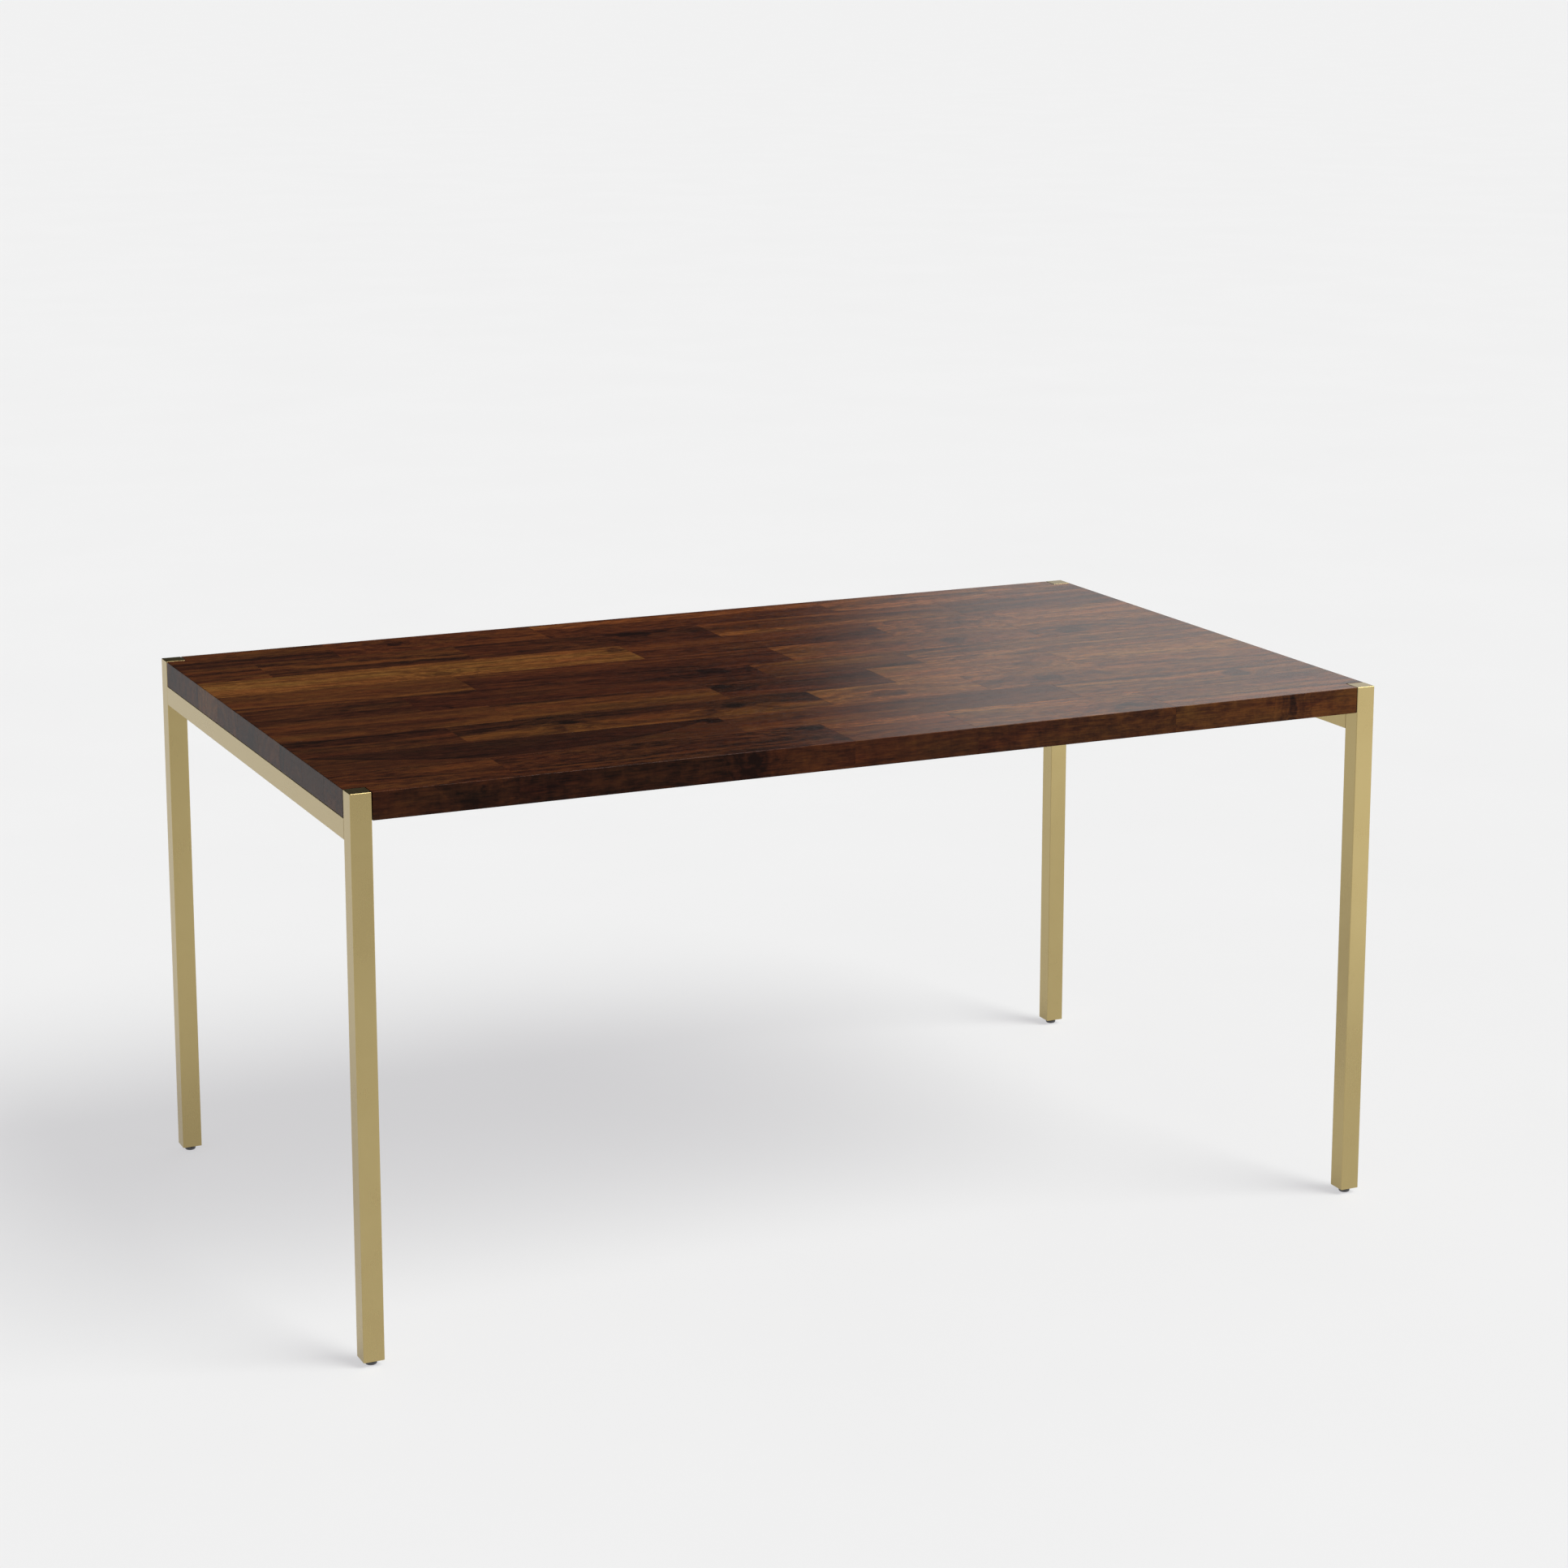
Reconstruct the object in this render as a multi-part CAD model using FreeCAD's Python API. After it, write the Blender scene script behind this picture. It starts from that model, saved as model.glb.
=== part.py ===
import FreeCAD, Part
import math
import os

# A rectangular butcher block dining table, in millimetres.
#
# The frame has its origin on the floor under the middle of the table, +X along the length,
# +Y to the back and +Z up. The top is a solid block, glued up from staves that lie end to end
# in rows along the length. A steel frame stands under each end of it: two square legs that
# run up through notches in the corners of the block and end level with its top, and a rail
# between them that the block rests on and is screwed down to. Each leg stands on a levelling
# glide, which is a threaded stud that turns in a nut in the leg and carries a swivelling pad.

# ---- driving dimensions ---------------------------------------------------------------------

TABLE_LENGTH = 1524.0
TABLE_HEIGHT = 762.0
ROW_WIDTHS = [110.0, 95.0, 100.0, 102.0, 101.0, 102.0, 103.0, 100.0, 101.4]
BLOCK_THICKNESS = 37.0
EDGE_EASING = 1.0                   # radius along the long edges of the block

TUBE_SIZE = 28.6                    # square tube of the legs and the rails
TUBE_WALL = 2.0
TUBE_CORNER_RADIUS = 1.2
CAP_THICKNESS = 2.0
CAP_EDGE_RADIUS = 0.8
NOTCH_GAP = 1.2                     # between a leg and the block around it

LEG_BOTTOM = 8.0                    # height of the open end of a leg above the floor
GLIDE_GAP = 0.3                     # between glide pieces that move against each other

# Where one stave meets the next, from the left end of the block, row by row from the front.
STAVE_JOINTS = [
    [225.0, 700.0, 885.0, 1195.0],
    [590.0, 1110.0],
    [230.0, 770.0, 1015.0],
    [330.0, 655.0, 915.0, 1215.0],
    [235.0, 770.0, 1012.0],
    [350.0, 848.0, 1265.0],
    [650.0, 1063.0],
    [112.0, 420.0, 820.0, 1240.0],
    [245.0, 577.0, 1065.0, 1357.0],
]

# Rows of the block that each rail is screwed to, counted from 1 at the front.
SCREWED_ROWS = [2, 4, 6, 8]

# M6 screws that go up through the rail into inserts in the block
SCREW_RADIUS = 3.0
SCREW_LENGTH = 16.0
SCREW_HEAD_RADIUS = 5.25
SCREW_HEAD_HEIGHT = 3.3
SCREW_HEAD_ROUNDING = 2.0
SCREW_TIP_CHAMFER = 0.6
SCREW_SOCKET_FLATS = 4.0
SCREW_SOCKET_DEPTH = 2.0
SCREW_HOLE_RADIUS = 3.3
ACCESS_HOLE_RADIUS = 7.0            # in the rail's lower wall, for the screw and its key
WASHER_RADIUS = 6.0
WASHER_THICKNESS = 1.6
INSERT_RADIUS = 5.0
INSERT_LENGTH = 13.0
INSERT_BORE_RADIUS = 3.06
INSERT_FLANGE_RADIUS = 6.0
INSERT_FLANGE_HEIGHT = 1.0
INSERT_HOLE_CLEARANCE = 0.05
INSERT_HOLE_SPARE_DEPTH = 1.0

# M8 levelling glides
STUD_RADIUS = 4.0
STUD_TOP = 38.0
STUD_TIP_CHAMFER = 1.0
STUD_HEX_FLATS = 13.0
STUD_HEX_HEIGHT = 2.5
STUD_CLEARANCE = 0.08               # around the stud in its nut, and its neck in the pad
NECK_RADIUS = 3.0
COLLAR_RADIUS = 4.5
COLLAR_HEIGHT = 1.4
NUT_FLATS = 13.0
NUT_HEIGHT = 6.5
PAD_RADIUS = 8.0
PAD_HEIGHT = 4.9
PAD_BOTTOM_RADIUS = 2.5
PAD_TOP_RADIUS = 0.6
PAD_FLOOR = 1.7                     # thickness of plastic under the stud's collar
PLUG_HEIGHT = 24.0
PLUG_TIP_CHAMFER = 1.5              # around its upper end, to lead it into the leg
PLUG_BODY_GAP = 0.8                 # between the plug's body and the wall of the leg
PLUG_RIB_HEIGHT = 1.5
PLUG_RIB_PITCH = 5.5
PLUG_RIB_CHAMFER = 1.0              # along the four corners of each rib
PLUG_BORE_RADIUS = 4.4

# ---- working margins ------------------------------------------------------------------------

OVERLAP = 1.0                       # how far a cutter or a joined solid runs past a face
PARALLEL = 0.999                    # least cosine between directions that count as the same
SAME_HEIGHT = 0.001

# ---- sizes that follow ----------------------------------------------------------------------

TABLE_WIDTH = sum(ROW_WIDTHS)
BLOCK_BOTTOM = TABLE_HEIGHT - BLOCK_THICKNESS
RAIL_BOTTOM = BLOCK_BOTTOM - TUBE_SIZE
HALF_LENGTH = TABLE_LENGTH / 2
HALF_WIDTH = TABLE_WIDTH / 2
LEG_X = HALF_LENGTH - TUBE_SIZE / 2
LEG_Y = HALF_WIDTH - TUBE_SIZE / 2
TUBE_INSIDE = TUBE_SIZE - 2 * TUBE_WALL
PLUG_TOP = LEG_BOTTOM + PLUG_HEIGHT
NUT_BOTTOM = LEG_BOTTOM + (PLUG_HEIGHT - NUT_HEIGHT) / 2

CORNERS = {
    "front_left": (-1, -1),
    "front_right": (1, -1),
    "back_left": (-1, 1),
    "back_right": (1, 1),
}
SIDES = {"left": -1, "right": 1}


# ---- building blocks ------------------------------------------------------------------------

def box(low, high):
    """A box between two opposite corners."""
    size = [high[axis] - low[axis] for axis in range(3)]
    return Part.makeBox(size[0], size[1], size[2], FreeCAD.Vector(*low))


def centred_box(centre, size):
    """A box of the given size around a centre."""
    low = [centre[axis] - size[axis] / 2 for axis in range(3)]
    high = [centre[axis] + size[axis] / 2 for axis in range(3)]
    return box(low, high)


def cylinder(radius, x, y, bottom, top):
    """An upright cylinder."""
    return Part.makeCylinder(radius, top - bottom, FreeCAD.Vector(x, y, bottom))


def hexagon(across_flats, x, y, bottom, top):
    """An upright hexagonal prism."""
    corner_radius = across_flats / math.sqrt(3)
    corners = []
    for step in range(7):
        angle = math.radians(60 * step)
        offset = FreeCAD.Vector(corner_radius * math.cos(angle), corner_radius * math.sin(angle), 0)
        corners.append(FreeCAD.Vector(x, y, bottom) + offset)
    outline = Part.Face(Part.makePolygon(corners))
    return outline.extrude(FreeCAD.Vector(0, 0, top - bottom))


def edges_along(shape, direction):
    """The straight edges of a shape that run in one direction."""
    found = []
    for edge in shape.Edges:
        ends = [vertex.Point for vertex in edge.Vertexes]
        if len(ends) == 2:
            run = (ends[1] - ends[0]).normalize()
            if abs(run.dot(direction)) > PARALLEL:
                found.append(edge)
    return found


def edges_at_height(shape, height):
    """The edges of a shape that lie level at one height."""
    found = []
    for edge in shape.Edges:
        bounds = edge.BoundBox
        if abs(bounds.ZMin - height) < SAME_HEIGHT and abs(bounds.ZMax - height) < SAME_HEIGHT:
            found.append(edge)
    return found


def square_tube(centre, length, axis):
    """A square tube around a centre, with rounded outer corners, along axis 1 (Y) or 2 (Z)."""
    outer_size = [TUBE_SIZE] * 3
    outer_size[axis] = length
    outer = centred_box(centre, outer_size)
    direction = FreeCAD.Vector(*[1 if index == axis else 0 for index in range(3)])
    outer = outer.makeFillet(TUBE_CORNER_RADIUS, edges_along(outer, direction))
    inner_size = [TUBE_INSIDE] * 3
    inner_size[axis] = length
    return outer.cut(centred_box(centre, inner_size))


def export(name, pieces):
    """Write one node's solids to its file."""
    shape = pieces[0] if len(pieces) == 1 else Part.makeCompound(pieces)
    shape.exportStep(f"parts/{name}.step")


# ---- the block ------------------------------------------------------------------------------

def row_edges():
    """The Y of each edge of the rows, from the front face to the back face."""
    edges = [-HALF_WIDTH]
    for width in ROW_WIDTHS:
        edges.append(edges[-1] + width)
    return edges


def fixing_places():
    """The X and Y of every screw, on the middle of its row and of its rail."""
    edges = row_edges()
    places = []
    for side in SIDES.values():
        for row in SCREWED_ROWS:
            places.append((side * LEG_X, (edges[row - 1] + edges[row]) / 2))
    return places


def block_outline():
    """The whole block as one solid: eased edges, corner notches and holes for the inserts."""
    whole = box((-HALF_LENGTH, -HALF_WIDTH, BLOCK_BOTTOM), (HALF_LENGTH, HALF_WIDTH, TABLE_HEIGHT))
    eased_edges = edges_at_height(whole, TABLE_HEIGHT) + edges_at_height(whole, BLOCK_BOTTOM)
    whole = whole.makeFillet(EDGE_EASING, eased_edges)
    notch = TUBE_SIZE + NOTCH_GAP
    notch_size = (2 * notch, 2 * notch, 2 * (BLOCK_THICKNESS + OVERLAP))
    cutters = []
    for side_x, side_y in CORNERS.values():
        corner = (side_x * HALF_LENGTH, side_y * HALF_WIDTH, TABLE_HEIGHT)
        cutters.append(centred_box(corner, notch_size))
    flange_top = BLOCK_BOTTOM + INSERT_FLANGE_HEIGHT + INSERT_HOLE_CLEARANCE
    hole_top = BLOCK_BOTTOM + INSERT_LENGTH + INSERT_HOLE_SPARE_DEPTH
    flange_radius = INSERT_FLANGE_RADIUS + INSERT_HOLE_CLEARANCE
    hole_radius = INSERT_RADIUS + INSERT_HOLE_CLEARANCE
    for x, y in fixing_places():
        cutters.append(cylinder(flange_radius, x, y, BLOCK_BOTTOM - OVERLAP, flange_top))
        cutters.append(cylinder(hole_radius, x, y, BLOCK_BOTTOM - OVERLAP, hole_top))
    return whole.cut(cutters)


def stave_rows():
    """Each row of the block, as the list of its staves."""
    whole = block_outline()
    edges = row_edges()
    rows = []
    for row, joints in enumerate(STAVE_JOINTS):
        ends = [-HALF_LENGTH] + [joint - HALF_LENGTH for joint in joints] + [HALF_LENGTH]
        staves = []
        for left, right in zip(ends, ends[1:]):
            space = box((left, edges[row], BLOCK_BOTTOM), (right, edges[row + 1], TABLE_HEIGHT))
            staves.append(whole.common(space).Solids[0])
        rows.append(staves)
    return rows


def insert(x, y):
    """A threaded insert, flush in the underside of the block."""
    top = BLOCK_BOTTOM + INSERT_LENGTH
    body = cylinder(INSERT_RADIUS, x, y, BLOCK_BOTTOM, top)
    flange = cylinder(INSERT_FLANGE_RADIUS, x, y, BLOCK_BOTTOM, BLOCK_BOTTOM + INSERT_FLANGE_HEIGHT)
    bore = cylinder(INSERT_BORE_RADIUS, x, y, BLOCK_BOTTOM - OVERLAP, top + OVERLAP)
    return body.fuse(flange).cut(bore).removeSplitter()


# ---- the end frames -------------------------------------------------------------------------

def leg(side_x, side_y):
    """A leg, from its open lower end up to the underside of its cap."""
    top = TABLE_HEIGHT - CAP_THICKNESS
    centre = (side_x * LEG_X, side_y * LEG_Y, (LEG_BOTTOM + top) / 2)
    return square_tube(centre, top - LEG_BOTTOM, 2)


def cap(side_x, side_y):
    """The plate that closes a leg, with its upper edges rounded."""
    centre = (side_x * LEG_X, side_y * LEG_Y, TABLE_HEIGHT - CAP_THICKNESS / 2)
    plate = centred_box(centre, (TUBE_SIZE, TUBE_SIZE, CAP_THICKNESS))
    plate = plate.makeFillet(TUBE_CORNER_RADIUS, edges_along(plate, FreeCAD.Vector(0, 0, 1)))
    return plate.makeFillet(CAP_EDGE_RADIUS, edges_at_height(plate, TABLE_HEIGHT))


def rail(side_x):
    """The rail between the two legs of one end, drilled for its screws."""
    centre = (side_x * LEG_X, 0, RAIL_BOTTOM + TUBE_SIZE / 2)
    tube = square_tube(centre, TABLE_WIDTH - 2 * TUBE_SIZE, 1)
    middle = RAIL_BOTTOM + TUBE_SIZE / 2
    cutters = []
    for x, y in fixing_places():
        if x * side_x > 0:
            cutters.append(cylinder(SCREW_HOLE_RADIUS, x, y, middle, BLOCK_BOTTOM + OVERLAP))
            cutters.append(cylinder(ACCESS_HOLE_RADIUS, x, y, RAIL_BOTTOM - OVERLAP, middle))
    return tube.cut(cutters)


def washer(x, y):
    """A washer against the inside of the rail's upper wall."""
    top = BLOCK_BOTTOM - TUBE_WALL
    bottom = top - WASHER_THICKNESS
    disc = cylinder(WASHER_RADIUS, x, y, bottom, top)
    return disc.cut(cylinder(SCREW_HOLE_RADIUS, x, y, bottom - OVERLAP, top + OVERLAP))


def screw(x, y):
    """A button-head screw, head down, with a hexagonal socket in its head."""
    seat = BLOCK_BOTTOM - TUBE_WALL - WASHER_THICKNESS
    head_bottom = seat - SCREW_HEAD_HEIGHT
    head = cylinder(SCREW_HEAD_RADIUS, x, y, head_bottom, seat)
    head = head.makeFillet(SCREW_HEAD_ROUNDING, edges_at_height(head, head_bottom))
    tip = seat + SCREW_LENGTH
    shank = cylinder(SCREW_RADIUS, x, y, seat - OVERLAP, tip)
    shank = shank.makeChamfer(SCREW_TIP_CHAMFER, edges_at_height(shank, tip))
    socket_top = head_bottom + SCREW_SOCKET_DEPTH
    socket = hexagon(SCREW_SOCKET_FLATS, x, y, head_bottom - OVERLAP, socket_top)
    return head.fuse(shank).cut(socket).removeSplitter()


# ---- the levelling glides -------------------------------------------------------------------

def plug(x, y):
    """The ribbed plastic plug in the lower end of a leg, with a pocket for the nut."""
    body_size = TUBE_INSIDE - 2 * PLUG_BODY_GAP
    middle = (x, y, (LEG_BOTTOM + PLUG_TOP) / 2)
    body = centred_box(middle, (body_size, body_size, PLUG_HEIGHT))
    body = body.makeChamfer(PLUG_TIP_CHAMFER, edges_at_height(body, PLUG_TOP))
    ribs = []
    rib_middle = LEG_BOTTOM + PLUG_RIB_HEIGHT / 2
    while rib_middle < PLUG_TOP - PLUG_RIB_HEIGHT:
        rib = centred_box((x, y, rib_middle), (TUBE_INSIDE, TUBE_INSIDE, PLUG_RIB_HEIGHT))
        ribs.append(rib.makeChamfer(PLUG_RIB_CHAMFER, edges_along(rib, FreeCAD.Vector(0, 0, 1))))
        rib_middle += PLUG_RIB_PITCH
    bore = cylinder(PLUG_BORE_RADIUS, x, y, LEG_BOTTOM - OVERLAP, PLUG_TOP + OVERLAP)
    pocket = hexagon(NUT_FLATS, x, y, NUT_BOTTOM, NUT_BOTTOM + NUT_HEIGHT)
    return body.fuse(ribs).cut([bore, pocket]).removeSplitter()


def nut(x, y):
    """The steel nut moulded into a plug."""
    top = NUT_BOTTOM + NUT_HEIGHT
    bore = cylinder(STUD_RADIUS + STUD_CLEARANCE, x, y, NUT_BOTTOM - OVERLAP, top + OVERLAP)
    return hexagon(NUT_FLATS, x, y, NUT_BOTTOM, top).cut(bore)


def stud(x, y):
    """The glide's stud: a collar held in the pad, a neck, a hexagon for a spanner, a thread."""
    hex_top = LEG_BOTTOM - GLIDE_GAP
    hex_bottom = hex_top - STUD_HEX_HEIGHT
    collar_bottom = PAD_FLOOR + GLIDE_GAP
    collar = cylinder(COLLAR_RADIUS, x, y, collar_bottom, collar_bottom + COLLAR_HEIGHT)
    neck = cylinder(NECK_RADIUS, x, y, collar_bottom, hex_top)
    spanner_hex = hexagon(STUD_HEX_FLATS, x, y, hex_bottom, hex_top)
    thread = cylinder(STUD_RADIUS, x, y, hex_top - OVERLAP, STUD_TOP)
    thread = thread.makeChamfer(STUD_TIP_CHAMFER, edges_at_height(thread, STUD_TOP))
    return collar.fuse([neck, spanner_hex, thread]).removeSplitter()


def pad(x, y):
    """The round foot of a glide, with a pocket that holds the stud's collar."""
    disc = cylinder(PAD_RADIUS, x, y, 0, PAD_HEIGHT)
    disc = disc.makeFillet(PAD_BOTTOM_RADIUS, edges_at_height(disc, 0))
    disc = disc.makeFillet(PAD_TOP_RADIUS, edges_at_height(disc, PAD_HEIGHT))
    pocket_top = PAD_FLOOR + COLLAR_HEIGHT + 2 * GLIDE_GAP
    pocket = cylinder(COLLAR_RADIUS + GLIDE_GAP, x, y, PAD_FLOOR, pocket_top)
    neck_hole = cylinder(NECK_RADIUS + STUD_CLEARANCE, x, y, PAD_FLOOR, PAD_HEIGHT + OVERLAP)
    return disc.cut([pocket, neck_hole])


# ---- the nodes ------------------------------------------------------------------------------

os.makedirs("parts", exist_ok=True)

for number, staves in enumerate(stave_rows(), start=1):
    export(f"stave_row_{number}", staves)

for corner, (side_x, side_y) in CORNERS.items():
    x = side_x * LEG_X
    y = side_y * LEG_Y
    export(f"leg_{corner}", [leg(side_x, side_y)])
    export(f"cap_{corner}", [cap(side_x, side_y)])
    export(f"plug_{corner}", [plug(x, y)])
    export(f"glide_stud_{corner}", [stud(x, y)])
    export(f"glide_pad_{corner}", [pad(x, y)])

for name, side_x in SIDES.items():
    export(f"rail_{name}", [rail(side_x)])

export("plug_nuts", [nut(side_x * LEG_X, side_y * LEG_Y) for side_x, side_y in CORNERS.values()])
export("block_inserts", [insert(x, y) for x, y in fixing_places()])
export("rail_washers", [washer(x, y) for x, y in fixing_places()])
export("rail_screws", [screw(x, y) for x, y in fixing_places()])
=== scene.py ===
import math
import random

import bmesh
import bpy
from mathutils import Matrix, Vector


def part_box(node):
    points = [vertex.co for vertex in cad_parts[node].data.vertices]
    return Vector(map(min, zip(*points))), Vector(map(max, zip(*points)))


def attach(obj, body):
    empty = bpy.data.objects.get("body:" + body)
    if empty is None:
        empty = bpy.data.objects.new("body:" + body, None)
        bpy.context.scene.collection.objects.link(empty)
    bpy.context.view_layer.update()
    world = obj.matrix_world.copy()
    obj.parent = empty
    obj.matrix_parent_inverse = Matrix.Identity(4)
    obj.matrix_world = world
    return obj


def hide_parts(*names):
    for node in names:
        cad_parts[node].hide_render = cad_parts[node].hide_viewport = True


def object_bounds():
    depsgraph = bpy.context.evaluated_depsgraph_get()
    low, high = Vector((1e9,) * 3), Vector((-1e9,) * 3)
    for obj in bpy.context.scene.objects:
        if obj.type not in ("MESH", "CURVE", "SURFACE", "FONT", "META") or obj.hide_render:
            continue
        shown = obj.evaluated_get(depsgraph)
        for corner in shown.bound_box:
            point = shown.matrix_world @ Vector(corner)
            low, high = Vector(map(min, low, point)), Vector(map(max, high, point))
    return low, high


# A butcher block table on square brass legs. The nine rows of staves in its top are rebuilt, with
# eased edges and their own grain. The other pieces keep their CAD meshes and get new materials.

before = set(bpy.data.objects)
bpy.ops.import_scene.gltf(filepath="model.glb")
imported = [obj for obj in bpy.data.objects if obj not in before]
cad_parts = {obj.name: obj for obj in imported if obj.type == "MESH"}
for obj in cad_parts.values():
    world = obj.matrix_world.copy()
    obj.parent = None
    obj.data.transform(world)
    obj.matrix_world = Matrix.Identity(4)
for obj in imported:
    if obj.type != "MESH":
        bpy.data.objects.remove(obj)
cad_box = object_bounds()

# ---- sizes, in metres -----------------------------------------------------------------------

MM = 0.001
EDGE_EASING = 1.0 * MM              # radius along the outside edges of the block
JOINT_EASING = 0.15 * MM            # the hairline arris along each glue joint
NOTCH_GAP = 1.2 * MM                # how much wider a notch in the block is than its leg
TOUCHING = 1e-6                     # places closer than this are the same place

HIGH = cad_box[1]
BLOCK_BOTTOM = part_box("stave_row_1")[0].z
BLOCK_TOP = HIGH.z
LEG_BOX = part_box("leg_front_left")
TUBE_SIZE = LEG_BOX[1].x - LEG_BOX[0].x

# ---- the staves of the block ----------------------------------------------------------------
#
# Row by row from the front, and from left to right. Lengths are in millimetres, along from the
# left end of the block and across from the row's front edge.
#
#   end     where the stave ends
#   tone    how light it is, from 0 dark to 1 light
#   red     how red it is, from 0 to 1
#   figure  how strong its rings and streaks are, where that isn't left to chance
#   light   a light band along it: where its front and back edges are across, how far both have
#           bowed back at the stave's ends, and how strong it is
#   dark    a dark band, in the same way
#   knots   one or two knots: the place along, the place across, and the radius
#   front   how much darker its front face is than its top, on the left and on the right of a
#           place along: painted shade, since less light falls on the front face, and where the
#           two differ, the face's own lighter or darker wood

# Staves towards the right end are set lighter: partly their own tone, and partly painted light for the
# brighter light that falls on that side.
STAVES = [
    [
        dict(end=225, tone=0.50, red=0.5, front=(0.22, 0.23, 130), knots=[(174, -20, 18)]),
        dict(end=700, tone=0.37, red=0.6, front=(0.22, -0.01, 572),
             knots=[(676, 92, 15), (553, -9, 11)]),
        dict(end=885, tone=0.595, red=0.7, front=(0.18, 0.18, 0), light=(76, 120, 0, 0.24)),
        dict(end=1195, tone=0.70, red=0.5, figure=1.3, light=(94, 120, 0, 0.12),
             front=(0.31, 0.26, 1040), knots=[(1148, 40, 16)]),
        dict(end=1524, tone=0.71, red=0.5, figure=1.4, front=(0.17, 0.12, 1360), knots=[(1387, -3, 6)]),
    ],
    [
        dict(end=590, tone=0.43, red=0.4, figure=0.5, dark=(4, 150, 92, 0.20), knots=[(575, 78, 12)]),
        dict(end=1110, tone=0.52, red=0.5, dark=(40, 84, 0, 0.12)),
        dict(end=1524, tone=0.65, red=0.4, figure=1.4, light=(62, 80, 4, 0.11), knots=[(1393, 41, 8)]),
    ],
    [
        dict(end=230, tone=0.41, red=0.5, figure=0.7, dark=(52, 92, 16, 0.16)),
        dict(end=770, tone=0.45, red=0.2, light=(2, 58, -22, 0.20), dark=(76, 130, -34, 0.18),
             knots=[(395, 58, 13), (640, 56, 17)]),
        dict(end=1015, tone=0.81, red=0.4, figure=0.8, knots=[(872, 42, 24)]),
        dict(end=1524, tone=0.70, red=0.4, figure=1.4, dark=(10, 52, 20, 0.08), knots=[(1131, 42, 22)]),
    ],
    [
        dict(end=330, tone=0.52, red=0.5, figure=0.6, light=(2, 34, 0, 0.10)),
        dict(end=655, tone=0.50, red=0.3, light=(18, 84, -8, 0.12), dark=(88, 130, 0, 0.14)),
        dict(end=915, tone=0.47, red=0.5, dark=(22, 74, 18, 0.14), knots=[(676, 78, 14)]),
        dict(end=1215, tone=0.82, red=0.4, figure=0.9, dark=(64, 82, 10, 0.08), knots=[(1145, 40, 20)]),
        dict(end=1524, tone=0.72, red=0.2, figure=1.4, light=(20, 60, 8, 0.12)),
    ],
    [
        dict(end=235, tone=0.39, red=0.5, figure=0.7, dark=(6, 34, 4, 0.12)),
        dict(end=770, tone=0.345, red=0.9, dark=(40, 66, 22, 0.10), knots=[(705, 82, 22)]),
        dict(end=1012, tone=0.49, red=0.3, light=(58, 120, 14, 0.16), dark=(4, 44, 0, 0.14)),
        dict(end=1524, tone=0.77, red=0.4, figure=1.4, dark=(40, 84, 20, 0.12)),
    ],
    [
        dict(end=350, tone=0.56, red=0.3, light=(0, 12, 0, 0.12)),
        dict(end=848, tone=0.405, red=0.9, figure=0.7, light=(70, 104, 0, 0.12), dark=(0, 52, 12, 0.06)),
        dict(end=1265, tone=0.68, red=0.6, figure=1.2, dark=(30, 58, 14, 0.08), knots=[(1131, 38, 22)]),
        dict(end=1524, tone=0.67, red=0.5, figure=1.4, light=(84, 120, 0, 0.12), knots=[(1330, 34, 24)]),
    ],
    [
        dict(end=650, tone=0.85, red=0.1, figure=0.8, knots=[(340, 24, 14), (632, 80, 17)]),
        dict(end=1063, tone=0.49, red=0.8, dark=(0, 40, 20, 0.06)),
        dict(end=1524, tone=0.78, red=0.6, figure=1.4, knots=[(1160, 52, 28), (1215, 50, 20)]),
    ],
    [
        dict(end=112, tone=0.45, red=0.5, light=(2, 30, 0, 0.14)),
        dict(end=420, tone=0.42, red=0.4, light=(36, 82, -6, 0.12), dark=(-20, 32, -12, 0.14)),
        dict(end=820, tone=0.385, red=0.8, knots=[(703, 71, 25)]),
        dict(end=1240, tone=0.62, red=0.6, light=(2, 32, 0, 0.18), dark=(40, 64, 10, 0.12)),
        dict(end=1524, tone=0.49, red=0.7, figure=1.2, dark=(30, 62, 12, 0.06)),
    ],
    [
        dict(end=245, tone=0.42, red=0.6, light=(50, 110, 0, 0.12), dark=(8, 42, 0, 0.10)),
        dict(end=577, tone=0.53, red=0.9, knots=[(345, 52, 12)]),
        dict(end=1065, tone=0.58, red=1.0, light=(62, 92, 0, 0.24), dark=(0, 56, 4, 0.08)),
        dict(end=1357, tone=0.70, red=0.8, figure=1.3, light=(14, 44, 6, 0.30)),
        dict(end=1524, tone=0.80, red=0.7, figure=1.3, dark=(18, 56, 6, 0.18)),
    ],
]


# ---- shader helpers -------------------------------------------------------------------------

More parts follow.
